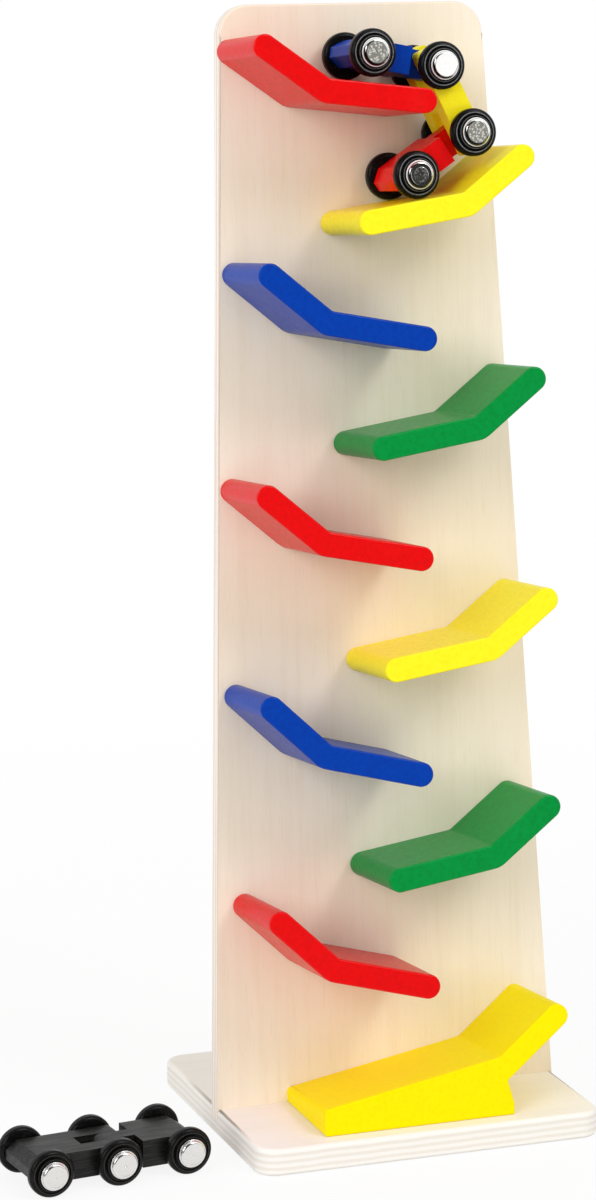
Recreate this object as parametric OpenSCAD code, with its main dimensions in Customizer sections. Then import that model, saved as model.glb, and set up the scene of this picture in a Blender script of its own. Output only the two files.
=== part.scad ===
// Click clack track toy: a leaning tower of ten bent ramps, with a three-part train tumbling
// from the first ramp to the second and a two-part train standing on the floor beside it.
// Millimetres. +X runs to the right, +Y away from the player, +Z up from the floor.

/* [Base] */
// Width of the base plate, and of the back panel at its foot
base_w = 165; // [150:1:185]
// Depth of the base plate, from front to back
base_d = 142; // [128:1:165]
// Thickness of the base plate
base_t = 12.5; // [10:0.5:16]
// Radius of the base plate's upright corners
base_corner_r = 10; // [6:0.5:18]
// Rounding along the base plate's top and bottom edges
base_edge_r = 2; // [0.5:0.1:2.5]
// Distance from the front of the base to the front face of the panel
panel_setback = 59.6; // [55:0.2:70]
// Depth of the groove in the base that holds the panel
groove_depth = 5; // [3:0.5:6]
// Clearance of the panel in that groove
groove_clear = 0.05; // [0.02:0.01:0.1]

/* [Back panel] */
// Height of the panel above the base, measured up its own slope
panel_h = 496; // [480:1:530]
// Width of the panel at its top
panel_top_w = 124.5; // [118:0.5:140]
// Thickness of the panel
panel_t = 8; // [7:0.5:10]
// Radius of the panel's two top corners
panel_corner_r = 14; // [6:0.5:22]
// Angle by which the panel leans back from the upright
panel_lean = 5.9; // [4:0.1:8]

/* [Ramps] */
// Depth of every ramp, out from the panel
ramp_depth = 51; // [49:0.5:58]
// Thickness of a ramp
ramp_t = 11; // [9:0.5:12]
// Length of the shallow arm, from the inner corner to the centre of its rounded end
ramp_long = 45; // [40:0.5:48]
// Length of the steep arm, from the inner corner to the centre of its rounded end
ramp_steep = 32; // [28:0.5:34]
// Angle between the two arms of a ramp
ramp_bend = 29; // [24:0.5:32]

/* [Exit ramp] */
// Slope of the exit ramp's long face
exit_slope = 10; // [8:0.5:12]
// Length of the long face, from the inner corner to the toe
exit_long = 86; // [80:0.5:90]
// Height of the inner corner above the base, at the panel
exit_corner_h = 21.8; // [20:0.2:26]
// Distance of the inner corner to the right of the middle
exit_corner_x = 36; // [32:0.5:40]
// Width of the foot to the right of the inner corner
exit_foot_out = 6.5; // [5:0.5:9]
// Angle of the foot's right side from the upright
exit_foot_slant = 15; // [10:1:18]
// Rounding of the toe's upper edge
exit_toe_r = 3; // [1:0.5:4]

/* [Trains] */
// Diameter of a wheel
wheel_d = 21.2; // [18:0.2:21.6]
// Distance between neighbouring axles
wheelbase = 32.8; // [31.6:0.1:36]
// Width of the wooden bodies
body_w = 26.6; // [24:0.2:29]
// Height of the wooden bodies
body_h = 12.5; // [10:0.5:14]
// Length of a free end beyond its axle
nose_len = 8.7; // [7.5:0.1:9.5]
// Length of the chamfers at a free end
nose_bevel = 5.5; // [3:0.1:6]
// Height of the flat middle of a free end
nose_flat = 4.6; // [3:0.1:6]
// Length of a fork's ears beyond their axle
ear_len = 8.7; // [7.5:0.1:9.5]
// Rounding of the ears' two corners
ear_round = 2; // [2:0.1:3.5]
// Width of the tongue between two fork ears
tongue_w = 8.4; // [6:0.2:11]
// Distance from a tongue's axle to its shoulders
shoulder_gap = 12.8; // [11:0.2:13.4]
// Distance from a fork's axle to the bottom of its slot
slot_reach = 13; // [10:0.5:14]
// Gap beside the tongue in its slot, on each side
slot_clear = 0.3; // [0.2:0.05:0.5]

/* [Axles and wheels] */
// Diameter of the axle rods
rod_d = 3; // [2.5:0.1:4]
// Clearance round a rod where it turns, on the radius
run_clear = 0.05; // [0.02:0.01:0.09]
// Clearance round a rod where it is pressed in, on the radius
press_clear = 0.01; // [0.01:0.005:0.02]
// Gap between a body's side and the wheel's boss
wheel_gap = 0.4; // [0.2:0.1:0.8]
// Length of the boss on the wheel's inner face
boss_len = 0.9; // [0.5:0.1:1.5]
// Diameter of that boss
boss_d = 8; // [6:0.5:10]
// Width of the wheel's rim
rim_w = 5.4; // [4:0.1:6]
// Rounding of the rim's two edges
rim_round = 1.9; // [0.8:0.1:2.1]
// Width of the groove round the rim's outer face
rim_groove_w = 1; // [0.5:0.1:1.4]
// Depth of that groove
rim_groove_depth = 0.7; // [0.3:0.1:1.2]
// Diameter of the hub that stands out of the rim
hub_d = 14.8; // [13.8:0.1:15.2]
// Length of the hub beyond the rim
hub_len = 1.2; // [0.8:0.1:1.6]
// Diameter of the metal cap
cap_d = 12.9; // [11:0.1:13.2]
// Thickness of the metal cap
cap_t = 2; // [1.6:0.1:2.6]
// Rounding of the edge of the cap's face
cap_round = 1.2; // [0.6:0.1:1.4]
// Width of the lip round the cap's foot
cap_lip_w = 0.5; // [0.3:0.1:0.8]
// Thickness of that lip
cap_lip_t = 0.6; // [0.4:0.1:0.8]
// Gap between the hub and the cap
cap_gap = 0.3; // [0.2:0.1:0.5]
// Wall of the cap in front of the rod's end
cap_face_t = 0.8; // [0.6:0.1:1]
// Diameter of the dimple in the middle of the cap
dimple_d = 1.2; // [0.8:0.1:2]
// Depth of that dimple
dimple_depth = 0.3; // [0.2:0.05:0.4]

/* [Coloured train on the ramps] */
// Distance along the first ramp, from its inner corner to the rear axle
train_run = 22; // [20:0.2:26]
// Gap under the rear wheels, which the tumbling train lifts off the first ramp
lift_gap = 3; // [0.3:0.1:4]
// Distance along the second ramp, from its inner corner down to the front axle
train_reach = 17.2; // [14:0.2:20]
// Downward pitch of the blue body
blue_pitch = 11; // [8:0.5:12]
// Gap between the front wheels and the second ramp under them
ramp_gap = 0.3; // [0.2:0.05:0.5]
// Gap between the inner caps and the panel
panel_gap = 0.4; // [0.3:0.1:1]

/* [Black train on the floor] */
// Distance of its middle axle to the left of the middle of the base
black_left = 144.4; // [142:0.1:175]
// Distance of its middle axle in front of the middle of the base
black_front = 39.2; // [30:0.2:50]
// Angle by which it is turned to the left
black_turn = 6.6; // [0:0.2:10]

/* [Screws] */
// Diameter of the screws' shanks
screw_d = 3.5; // [3:0.1:4]
// Length of the screws
screw_len = 25; // [20:1:28]
// Diameter of the countersunk heads
screw_head_d = 7; // [6:0.1:8]
// Depth to which a head is sunk below the surface
screw_sink = 0.3; // [0.1:0.1:0.6]
// Width of one arm of the cross recess
recess_w = 1; // [0.6:0.1:1.2]
// Length of one arm of the cross recess, from end to end
recess_len = 3.6; // [2.5:0.1:4.2]
// Depth of the cross recess
recess_depth = 1.4; // [0.8:0.1:1.6]
// Clearance round a screw in its hole, on the radius
screw_clear = 0.02; // [0.01:0.01:0.05]
// Distance between neighbouring screws under the base
base_screw_pitch = 55; // [45:1:60]

/* [Hidden] */
$fn = 96;

// Overrun that lets a cut pass its face
cut = 1;

// The nine ramps from the top down. An even index has its high end at the left.
ramp_colours = ["red", "yellow", "blue", "green", "red", "yellow", "blue", "green", "red"];
// Inner corner above the base, in shares of the panel's height
ramp_height_shares = [0.9296, 0.8264, 0.7268, 0.6276, 0.5323, 0.4284, 0.3427, 0.2391, 0.15];
// Inner corner left or right of the middle, in shares of the base's half width
ramp_across_shares = [0.36, 0.376, 0.39, 0.407, 0.447, 0.44, 0.479, 0.422, 0.475];
// Slope of each shallow arm, in degrees, as the ramps are screwed on
ramp_slopes = [6.6, 7.9, 11, 8.3, 11.7, 7.8, 14.6, 8.1, 15];
ramp_count = len(ramp_colours);
// Steps round the exit ramp's toe
toe_steps = 8;
// Depths to which the exit ramp's foot and steep arm reach into each other, in shares of a ramp's thickness
foot_overlap_share = 0.7;
arm_overlap_share = 0.4;
// Screws along the two arms, in shares of their lengths
long_screw_share = 0.6;
steep_screw_share = 0.6;

paint = [
    ["red", "#e3121a"],
    ["yellow", "#fbe312"],
    ["blue", "#1f4bb4"],
    ["green", "#0f8a3a"]
];
function paint_of(name) = [for (row = paint) if (row[0] == name) row[1]][0];

panel_y = panel_setback - base_d / 2;
wheel_r = wheel_d / 2;
rod_r = rod_d / 2;
run_r = rod_r + run_clear;
press_r = rod_r + press_clear;
hub_r = hub_d / 2;
cap_r = cap_d / 2;
face_r = cap_r - cap_lip_w;
half_body = body_w / 2;
// Stations along an axle, out from the middle of the body
boss_at = half_body + wheel_gap;
rim_at = boss_at + boss_len;
hub_at = rim_at + rim_w;
cap_at = hub_at + hub_len + cap_gap;
cap_end = cap_at + cap_t;
rod_end = cap_end - cap_face_t - press_clear;
screw_head_depth = (screw_head_d - screw_d) / 2;
slot_w = tongue_w + 2 * slot_clear;
// The middle of the coloured train, out from the panel
train_out = cap_end + panel_gap;

// Positions on the panel are [across, up] from the foot of its front face.
function side(i) = i % 2 == 0 ? 1 : -1;
function corner(i) = [-side(i) * ramp_across_shares[i] * base_w / 2, ramp_height_shares[i] * panel_h];
// Directions down and square to ramp i's shallow arm, or with ramp_bend its steep arm
function along(i, bend = 0) = [side(i) * cos(ramp_slopes[i] + bend), -sin(ramp_slopes[i] + bend)];
function above(i, bend = 0) = [side(i) * sin(ramp_slopes[i] + bend), cos(ramp_slopes[i] + bend)];
// A point at a run down that arm from the inner corner and a height over it
function over_ramp(i, run, height, bend = 0) = corner(i) + run * along(i, bend) + height * above(i, bend);
// The run at which an axle at this height over that arm is one wheelbase from another axle
function run_from(i, axle, height, bend = 0) =
    let (way = axle - corner(i), rise = way * above(i, bend) - height)
    way * along(i, bend) + sqrt(max(wheelbase * wheelbase - rise * rise, 0));
function heading(a, b) = atan2(b[1] - a[1], b[0] - a[0]);
// The right-hand one of the two points at the same reach from a and b
function elbow(a, b, reach) =
    let (span = norm(b - a), rise = sqrt(max(reach * reach - span * span / 4, 0)), way = (b - a) / span)
    (a + b) / 2 + rise * [-way[1], way[0]];

// The four axles of the coloured train, from its blue end to its red end
axle_height = wheel_r + ramp_gap;
axle_1 = over_ramp(0, train_run, wheel_r + lift_gap);
axle_2 = axle_1 + wheelbase * [cos(blue_pitch), -sin(blue_pitch)];
// The third axle at its lowest, with its wheels just clear of the second ramp's steep arm
lowest_axle_3 = over_ramp(1, run_from(1, axle_2, axle_height, ramp_bend), axle_height, ramp_bend);
axle_4 = over_ramp(1, max(train_reach, run_from(1, lowest_axle_3, axle_height)), axle_height);
axle_3 = elbow(axle_2, axle_4, wheelbase);
coloured_axles = [axle_1, axle_2, axle_3, axle_4];

// The three axles of the black train, along its length from the middle one
black_axles = [-wheelbase, 0, wheelbase];

ramp_nodes = [for (i = [0:ramp_count - 1]) str("ramp_", i + 1, "_", ramp_colours[i])];
coloured_rods = [for (i = [1:4]) str("coloured_axle_", i)];
coloured_caps = [for (i = [1:4]) str("coloured_caps_", i)];
coloured_wheels = [for (i = [1:4], s = ["near", "far"]) str("coloured_wheel_", i, "_", s)];
black_rods = [for (i = [1:3]) str("black_axle_", i)];
black_caps = [for (i = [1:3]) str("black_caps_", i)];
black_wheels = [for (i = [1:3], s = ["near", "far"]) str("black_wheel_", i, "_", s)];

// Frames

module on_panel() {
    translate([0, panel_y, base_t]) rotate([-panel_lean, 0, 0]) children();
}

// Stands a flat outline in the panel's plane and draws it out towards the player.
module out_of_panel(depth) {
    on_panel() rotate([90, 0, 0]) linear_extrude(depth) children();
}

// Turns a piece from its own Z axis to one that points away from the player.
module away() {
    rotate([-90, 0, 0]) children();
}

module at_coloured_axle(i, turn = 0) {
    p = coloured_axles[i];
    on_panel() translate([p[0], -train_out, p[1]]) rotate([0, -turn, 0]) children();
}

module on_floor() {
    translate([-black_left, -black_front, wheel_r]) rotate([0, 0, black_turn]) children();
}

module at_black_axle(i) {
    on_floor() translate([black_axles[i], 0, 0]) children();
}

// Screws

// A countersunk screw along +Z, with its head's face at the origin
module screw() {
    difference() {
        union() {
            cylinder(h = screw_head_depth, d1 = screw_head_d, d2 = screw_d);
            cylinder(h = screw_len, d = screw_d);
        }
        for (turn = [0, 90])
            rotate(turn)
                translate([-recess_len / 2, -recess_w / 2, -cut]) cube([recess_len, recess_w, cut + recess_depth]);
    }
}

// The hole for one screw: its countersink, and its shank
module screw_hole() {
    translate([0, 0, -cut]) cylinder(h = cut + screw_sink, r = screw_head_d / 2 + screw_clear);
    translate([0, 0, screw_sink])
        cylinder(h = screw_head_depth, r1 = screw_head_d / 2 + screw_clear, r2 = screw_d / 2 + screw_clear);
    cylinder(h = screw_sink + screw_len + screw_clear, r = screw_d / 2 + screw_clear);
}

// Two screw places for each ramp, [across, up] on the panel
function arm_point(i, run) = over_ramp(i, run, -ramp_t / 2, run > 0 ? 0 : ramp_bend);
ramp_screw_points = [
    for (i = [0:ramp_count - 1], run = [ramp_long * long_screw_share, -ramp_steep * steep_screw_share])
        arm_point(i, run)
];
exit_steep_angle = exit_slope + ramp_bend;
exit_corner = [exit_corner_x, exit_corner_h];
exit_screw_points = [
    exit_corner - ramp_t / 2 * [-sin(exit_steep_angle), cos(exit_steep_angle)]
        + ramp_steep * steep_screw_share * [cos(exit_steep_angle), sin(exit_steep_angle)],
    [exit_corner[0] - exit_long * long_screw_share / 2, exit_corner[1] - ramp_t]
];

module at_ramp_screws(points) {
    for (p = points) on_panel() translate([p[0], panel_t, p[1]]) rotate([90, 0, 0]) children();
}

// The base's screws rise through the groove into the middle of the panel.
base_screw_y = panel_y + panel_t / 2 + (screw_len - base_t) / 2 * tan(panel_lean);
module at_base_screws() {
    for (x = [-base_screw_pitch, 0, base_screw_pitch]) translate([x, base_screw_y, 0]) children();
}

module ramp_screws() {
    color("silver") at_ramp_screws(concat(ramp_screw_points, exit_screw_points)) translate([0, 0, screw_sink]) screw();
}

module base_screws() {
    color("silver") at_base_screws() translate([0, 0, screw_sink]) screw();
}

// Base and panel

// The rounding along the top and bottom edges of one side, along X
module soft_edge(len) {
    for (z = [base_edge_r, base_t - base_edge_r])
        translate([-len / 2, 0, z]) rotate([0, 90, 0]) cylinder(h = len, r = base_edge_r);
}

module base_plate() {
    inner_w = base_w - 2 * base_corner_r;
    inner_d = base_d - 2 * base_corner_r;
    rim = base_edge_r;
    color("#efe9e2") difference() {
        union() {
            translate([-inner_w / 2, rim - base_d / 2, 0]) cube([inner_w, base_d - 2 * rim, base_t]);
            translate([rim - base_w / 2, -inner_d / 2, 0]) cube([base_w - 2 * rim, inner_d, base_t]);
            translate([-inner_w / 2, -base_d / 2, rim]) cube([inner_w, base_d, base_t - 2 * rim]);
            translate([-base_w / 2, -inner_d / 2, rim]) cube([base_w, inner_d, base_t - 2 * rim]);
            for (s = [-1, 1]) {
                translate([0, s * (base_d / 2 - rim), 0]) soft_edge(inner_w);
                translate([s * (base_w / 2 - rim), 0, 0]) rotate(90) soft_edge(inner_d);
            }
            for (sx = [-1, 1], sy = [-1, 1])
                translate([sx * inner_w / 2, sy * inner_d / 2, 0]) soft_corner();
        }
        on_panel() translate([-base_w / 2 - cut, -groove_clear, -groove_depth - groove_clear])
            cube([base_w + 2 * cut, panel_t + 2 * groove_clear, groove_depth + base_t]);
        at_base_screws() screw_hole();
    }
}

// One upright corner of the base plate, with rounded top and bottom edges
module soft_corner() {
    rotate_extrude() intersection() {
        union() {
            square([base_corner_r - base_edge_r, base_t]);
            translate([0, base_edge_r]) square([base_corner_r, base_t - 2 * base_edge_r]);
            for (z = [base_edge_r, base_t - base_edge_r])
                translate([base_corner_r - base_edge_r, z]) circle(r = base_edge_r);
        }
        square([base_corner_r, base_t]);
    }
}

module back_panel() {
    half = base_w / 2;
    top = panel_top_w / 2;
    // Half width at the height where the rounded corners' centres lie
    shoulder = half - (half - top) * (panel_h - panel_corner_r) / panel_h;
    reach = shoulder - panel_corner_r;
    color("#e9d3b2") difference() {
        translate_back() linear_extrude(panel_t) union() {
            polygon([
                [-half, -groove_depth], [half, -groove_depth], [half, 0],
                [shoulder, panel_h - panel_corner_r], [-shoulder, panel_h - panel_corner_r], [-half, 0]
            ]);
            translate([-reach, panel_h - 2 * panel_corner_r]) square([2 * reach, 2 * panel_corner_r]);
            for (s = [-1, 1]) translate([s * reach, panel_h - panel_corner_r]) circle(r = panel_corner_r);
        }
        at_ramp_screws(concat(ramp_screw_points, exit_screw_points)) screw_hole();
        at_base_screws() screw_hole();
    }
}

// Stands a flat outline in the panel's plane and gives it the panel's thickness.
module translate_back() {
    on_panel() translate([0, panel_t, 0]) rotate([90, 0, 0]) children();
}

// Ramps

// One arm of a ramp along +X, with its top face on the axis and a fully rounded end
module arm(length, start = 0) {
    translate([start, -ramp_t]) square([length - start, ramp_t]);
    translate([length, -ramp_t / 2]) circle(d = ramp_t);
}

// The rounding under a ramp's bend, about the inner corner
module bend_round() {
    intersection() {
        circle(r = ramp_t);
        translate([-2 * ramp_t, -2 * ramp_t]) square([4 * ramp_t, 2 * ramp_t]);
    }
}

// The two arms of a ramp, with the inner corner at the origin and the shallow arm along +X
module bent_bar() {
    arm(ramp_long);
    bend_round();
    rotate(-ramp_bend) scale([-1, 1]) {
        arm(ramp_steep);
        bend_round();
    }
}

module ramp(i) {
    p = corner(i);
    color(paint_of(ramp_colours[i])) difference() {
        out_of_panel(ramp_depth)
            translate(p) scale([side(i), 1]) rotate(-ramp_slopes[i]) bent_bar();
        at_ramp_screws([ramp_screw_points[2 * i], ramp_screw_points[2 * i + 1]]) screw_hole();
    }
}

// The exit ramp: a wedge that stands on the base, with a ramp's steep arm rising from it
module exit_ramp() {
    toe = exit_corner - exit_long * [cos(exit_slope), sin(exit_slope)];
    toe_centre = toe + exit_toe_r * [1, tan(exit_slope) - 1 / cos(exit_slope)];
    toe_turn = 90 - exit_slope;
    low = -ramp_depth * tan(panel_lean) - cut;
    foot_x = exit_corner_x + exit_foot_out;
    // The foot's slanted side ends inside the steep arm.
    side_top = exit_corner_h - ramp_t * foot_overlap_share;
    color(paint_of("yellow")) difference() {
        out_of_panel(ramp_depth) {
            polygon(concat(
                [exit_corner],
                [for (k = [0:toe_steps]) let (a = 180 - toe_turn * (1 - k / toe_steps))
                    toe_centre + exit_toe_r * [cos(a), sin(a)]],
                [[toe[0], low], [foot_x, low], [foot_x, 0], [foot_x - side_top * tan(exit_foot_slant), side_top]]
            ));
            translate(exit_corner) rotate(exit_steep_angle) arm(ramp_steep, -ramp_t * arm_overlap_share);
        }
        translate([-base_w, -base_d, base_t - base_w]) cube([2 * base_w, 2 * base_d, base_w]);
        at_ramp_screws(exit_screw_points) screw_hole();
    }
}

// Train bodies

// A body's side view from one axle to the next: x along, y up. Each end is "nose", "fork" or "tongue".
module body_side(left, right) {
    translate([0, -body_h / 2]) square([wheelbase, body_h]);
    body_end(left);
    translate([wheelbase, 0]) rotate(180) body_end(right);
}

module body_end(kind) {
    if (kind == "nose")
        polygon([
            [0, body_h / 2], [nose_bevel - nose_len, body_h / 2], [-nose_len, nose_flat / 2],
            [-nose_len, -nose_flat / 2], [nose_bevel - nose_len, -body_h / 2], [0, -body_h / 2]
        ]);
    if (kind == "fork") {
        translate([ear_round - ear_len, -body_h / 2]) square([ear_len - ear_round + cut, body_h]);
        translate([-ear_len, ear_round - body_h / 2]) square([ear_len, body_h - 2 * ear_round]);
        for (s = [-1, 1]) translate([ear_round - ear_len, s * (body_h / 2 - ear_round)]) circle(r = ear_round);
    }
    if (kind == "tongue")
        circle(d = body_h);
}

// Cuts a fork's slot round the axle at the origin, open towards -X.
module fork_slot() {
    translate([-body_h - cut, -slot_w / 2, -body_h / 2 - cut])
        cube([body_h + cut + slot_reach, slot_w, body_h + 2 * cut]);
}

// Cuts away both sides of a tongue round the axle at the origin, open towards -X.
module tongue_cheeks() {
    for (s = [0, 1]) mirror([0, s, 0])
        translate([-body_h - cut, tongue_w / 2, -body_h / 2 - cut])
            cube([body_h + cut + shoulder_gap, half_body, body_h + 2 * cut]);
}

module cross_hole(r) {
    translate([0, half_body + cut, 0]) rotate([90, 0, 0]) cylinder(h = body_w + 2 * cut, r = r);
}

// A wooden body with its first axle at the origin and its second along +X
module train_body(left, right) {
    difference() {
        translate([0, half_body, 0]) rotate([90, 0, 0]) linear_extrude(body_w) body_side(left, right);
        if (left == "fork") fork_slot();
        translate([wheelbase, 0, 0]) mirror([1, 0, 0]) {
            if (right == "fork") fork_slot();
            if (right == "tongue") tongue_cheeks();
        }
        cross_hole(press_r);
        translate([wheelbase, 0, 0]) cross_hole(right == "tongue" ? run_r : press_r);
    }
}

module blue_body() {
    color(paint_of("blue")) at_coloured_axle(0, heading(axle_1, axle_2)) train_body("nose", "tongue");
}

module yellow_body() {
    color(paint_of("yellow")) at_coloured_axle(1, heading(axle_2, axle_3)) train_body("fork", "fork");
}

module red_body() {
    color(paint_of("red")) at_coloured_axle(3, heading(axle_4, axle_3)) train_body("nose", "tongue");
}

module black_rear_body() {
    color("#2b2b2b") at_black_axle(0) train_body("nose", "fork");
}

module black_front_body() {
    color("#2b2b2b") at_black_axle(2) rotate([0, 0, 180]) train_body("nose", "tongue");
}

// Axles, wheels and caps

module rod() {
    translate([0, 0, -rod_end]) cylinder(h = 2 * rod_end, r = rod_r);
}

// Half of a wheel's section, x out from the axle and y along it
module wheel_section() {
    difference() {
        union() {
            translate([0, boss_at]) square([boss_d / 2, boss_len + cut]);
            translate([0, rim_at]) square([wheel_r - rim_round, rim_w]);
            translate([0, rim_at + rim_round]) square([wheel_r, rim_w - 2 * rim_round]);
            for (y = [rim_at + rim_round, hub_at - rim_round])
                translate([wheel_r - rim_round, y]) circle(r = rim_round);
            translate([0, hub_at - cut]) square([hub_r, hub_len + cut]);
        }
        translate([hub_r, hub_at - rim_groove_depth]) square([rim_groove_w, rim_groove_depth + cut]);
        translate([-rod_r, boss_at - cut]) square([rod_r + run_r, cap_end]);
    }
}

module wheel() {
    rotate_extrude() wheel_section();
}

// Half of a cap's section
module cap_section() {
    difference() {
        union() {
            translate([0, cap_at]) square([cap_r, cap_lip_t]);
            translate([0, cap_at]) square([face_r, cap_t - cap_round]);
            translate([0, cap_at]) square([face_r - cap_round, cap_t]);
            intersection() {
                translate([0, cap_at]) square([face_r, cap_t]);
                translate([face_r - cap_round, cap_end - cap_round]) circle(r = cap_round);
            }
        }
        translate([-rod_r, cap_at - cut]) square([rod_r + press_r, cut + cap_t - cap_face_t]);
        translate([-rod_r, cap_end - dimple_depth]) square([rod_r + dimple_d / 2, cap_t]);
    }
}

module cap_pair() {
    for (s = [0, 1]) mirror([0, 0, s]) rotate_extrude() cap_section();
}

// The near side of an axle points at the player, so it is the mirrored one.
module sided_wheel(s) {
    away() mirror([0, 0, s == 0 ? 1 : 0]) wheel();
}

module coloured_axle(i) {
    color("silver") at_coloured_axle(i) away() rod();
}

module coloured_cap_pair(i) {
    color("gainsboro") at_coloured_axle(i) away() cap_pair();
}

module coloured_wheel(i, s) {
    color("#1c1c1c") at_coloured_axle(i) sided_wheel(s);
}

module black_axle(i) {
    color("silver") at_black_axle(i) away() rod();
}

module black_cap_pair(i) {
    color("gainsboro") at_black_axle(i) away() cap_pair();
}

module black_wheel(i, s) {
    color("#1c1c1c") at_black_axle(i) sided_wheel(s);
}

base_plate();
back_panel();
exit_ramp();
ramp_screws();
base_screws();
for (i = [0:ramp_count - 1])
    ramp(i);
blue_body();
yellow_body();
red_body();
black_rear_body();
black_front_body();
for (i = [0:3]) {
    coloured_axle(i);
    coloured_cap_pair(i);
    for (s = [0:1])
        coloured_wheel(i, s);
}
for (i = [0:2]) {
    black_axle(i);
    black_cap_pair(i);
    for (s = [0:1])
        black_wheel(i, s);
}
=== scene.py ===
"""The looks of a click clack track toy: a leaning tower of bent ramps and two hinged trains.

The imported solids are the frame. Each wooden piece is dressed as a copy of its solid with eased
edges, the ramps and every turned piece are made by Geometry Nodes, and the axles and screws stay
as they are with a better finish. Lengths are metres, +X right, +Y away from the player, +Z up.
"""

import logging
import math
from collections.abc import Callable, Iterable
from dataclasses import dataclass, field
from enum import Enum
from typing import Any, ClassVar

import bmesh
import bpy
from mathutils import Euler, Matrix, Vector


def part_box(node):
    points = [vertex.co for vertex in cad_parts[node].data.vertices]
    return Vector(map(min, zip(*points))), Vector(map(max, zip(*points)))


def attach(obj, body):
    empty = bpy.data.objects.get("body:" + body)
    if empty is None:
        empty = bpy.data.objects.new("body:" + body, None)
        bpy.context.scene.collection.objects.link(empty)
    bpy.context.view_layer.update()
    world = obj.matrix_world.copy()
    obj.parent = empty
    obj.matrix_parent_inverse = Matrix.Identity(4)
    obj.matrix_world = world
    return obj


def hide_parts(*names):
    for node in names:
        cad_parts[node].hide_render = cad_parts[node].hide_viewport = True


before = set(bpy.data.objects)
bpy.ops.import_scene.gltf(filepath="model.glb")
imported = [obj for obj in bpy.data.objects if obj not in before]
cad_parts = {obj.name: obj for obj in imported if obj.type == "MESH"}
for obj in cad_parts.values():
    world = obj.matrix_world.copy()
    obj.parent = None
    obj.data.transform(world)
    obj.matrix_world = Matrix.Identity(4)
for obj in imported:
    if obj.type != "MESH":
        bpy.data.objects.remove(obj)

LOG = logging.getLogger("click_clack_track")
MM = 0.001
SEAM = 0.001 * MM  # points closer than this are one
CORNER = 28  # degrees from which an edge counts as a corner
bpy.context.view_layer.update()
Colour = tuple[float, float, float]


def linear(red: int, green: int, blue: int) -> Colour:
    """Turns a colour as a screen shows it into the linear values that shaders take.

    Args:
        red: Red from 0 to 255.
        green: Green from 0 to 255.
        blue: Blue from 0 to 255.

    Returns:
        The three linear values from 0 to 1.
    """

    def channel(value: int) -> float:
        """One channel by the sRGB curve."""
        share = value / 255
        return share / 12.92 if share <= 0.04045 else ((share + 0.055) / 1.055) ** 2.4

    return channel(red), channel(green), channel(blue)


# Node trees


class Signal:
    """An output socket whose arithmetic adds Math nodes to its tree."""

    def __init__(self, net: "Net", socket: bpy.types.NodeSocket) -> None:
        """Wraps a socket.

        Args:
            net: The tree that holds the socket.
            socket: The output socket.
        """
        self.net = net
        self.socket = socket

    def _math(self, operation: str, first: Any, second: Any) -> "Signal":
        """Adds one Math node.

        Args:
            operation: Name of the operation.
            first: First value or signal.
            second: Second value or signal.

        Returns:
            The node's output.
        """
        return self.net.add(f"{self.net.kind}NodeMath", {"operation": operation}, {0: first, 1: second})

    def __add__(self, other: Any) -> "Signal":
        """Sum."""
        return self._math("ADD", self, other)

    def __radd__(self, other: Any) -> "Signal":
        """Sum with the signal on the right."""
        return self._math("ADD", other, self)

    def __sub__(self, other: Any) -> "Signal":
        """Difference."""
        return self._math("SUBTRACT", self, other)

    def __rsub__(self, other: Any) -> "Signal":
        """Difference with the signal on the right."""
        return self._math("SUBTRACT", other, self)

    def __mul__(self, other: Any) -> "Signal":
        """Product."""
        return self._math("MULTIPLY", self, other)

    def __rmul__(self, other: Any) -> "Signal":
        """Product with the signal on the right."""
        return self._math("MULTIPLY", other, self)

    def __truediv__(self, other: Any) -> "Signal":
        """Quotient."""
        return self._math("DIVIDE", self, other)

    def __neg__(self) -> "Signal":
        """The signal with its sign changed."""
        return self._math("MULTIPLY", self, -1.0)

    def __abs__(self) -> "Signal":
        """The signal without its sign."""
        return self._math("ABSOLUTE", self, 0.0)

    def wave(self) -> "Signal":
        """The sine of the signal."""
        return self._math("SINE", self, 0.0)

    def at_most(self, ceiling: float) -> "Signal":
        """The smaller of the signal and a number."""
        return self._math("MINIMUM", self, ceiling)

    def ramp(self, low: float, high: float, to_low: float = 0.0, to_high: float = 1.0) -> "Signal":
        """Maps a span of the signal smoothly on to another and clamps it there.

        Args:
            low: Value that gives to_low.
            high: Value that gives to_high.
            to_low: Result at low.
            to_high: Result at high.

        Returns:
            The mapped signal.
        """
        settings = {"interpolation_type": "SMOOTHSTEP"}
        return self.net.add("ShaderNodeMapRange", settings, {0: self, 1: low, 2: high, 3: to_low, 4: to_high})


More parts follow.
